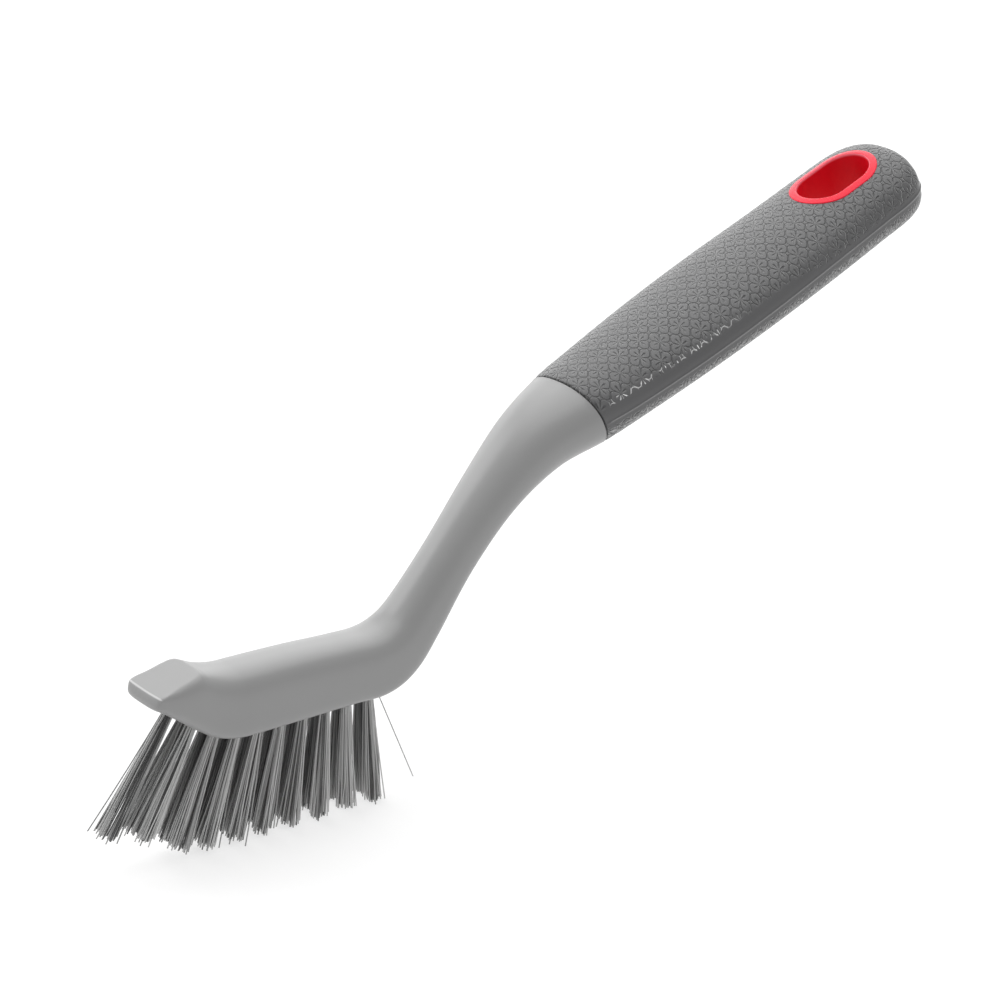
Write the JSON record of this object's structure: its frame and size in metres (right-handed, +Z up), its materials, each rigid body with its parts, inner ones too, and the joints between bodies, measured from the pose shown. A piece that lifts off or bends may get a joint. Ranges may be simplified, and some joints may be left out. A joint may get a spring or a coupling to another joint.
{
  "type": "grout brush",
  "caption": "Narrow scrubbing brush with a pointed head, leaning tufts, a cranked neck and a soft textured grip with a hanging slot.",
  "frame": {"origin": "centre of the brush's length and width, at the level of the trimmed bristle tips it stands on", "axes": "+Z up out of the top of the head, square to its underside; +X from the nose of the head towards the butt of the handle; +Y to the far side of the brush when the nose points left"},
  "size_m": [0.2452, 0.0372, 0.1372],
  "materials": {
    "body_plastic": "light grey moulded plastic with a satin sheen",
    "grip_rubber": "matt dark grey soft grip with a fine relief of petals",
    "liner_red": "red soft plastic with a satin sheen",
    "filament": "grey drawn nylon filament, cut square",
    "anchor_metal": "bright strip, hidden in the tuft holes"
  },
  "bodies": {
    "root": {"handle_body": "body_plastic", "grip_sleeve": "grip_rubber", "hang_slot_liner": "liner_red", "tuft_front": "filament", "tuft_left_1": "filament", "tuft_left_2": "filament", "tuft_left_3": "filament", "tuft_left_4": "filament", "tuft_left_5": "filament", "tuft_left_6": "filament", "tuft_left_7": "filament", "tuft_left_8": "filament", "tuft_left_9": "filament", "tuft_right_1": "filament", "tuft_right_2": "filament", "tuft_right_3": "filament", "tuft_right_4": "filament", "tuft_right_5": "filament", "tuft_right_6": "filament", "tuft_right_7": "filament", "tuft_right_8": "filament", "tuft_right_9": "filament", "anchor_front": "anchor_metal", "anchor_left_1": "anchor_metal", "anchor_left_2": "anchor_metal", "anchor_left_3": "anchor_metal", "anchor_left_4": "anchor_metal", "anchor_left_5": "anchor_metal", "anchor_left_6": "anchor_metal", "anchor_left_7": "anchor_metal", "anchor_left_8": "anchor_metal", "anchor_left_9": "anchor_metal", "anchor_right_1": "anchor_metal", "anchor_right_2": "anchor_metal", "anchor_right_3": "anchor_metal", "anchor_right_4": "anchor_metal", "anchor_right_5": "anchor_metal", "anchor_right_6": "anchor_metal", "anchor_right_7": "anchor_metal", "anchor_right_8": "anchor_metal", "anchor_right_9": "anchor_metal"}
  },
  "joints": []
}
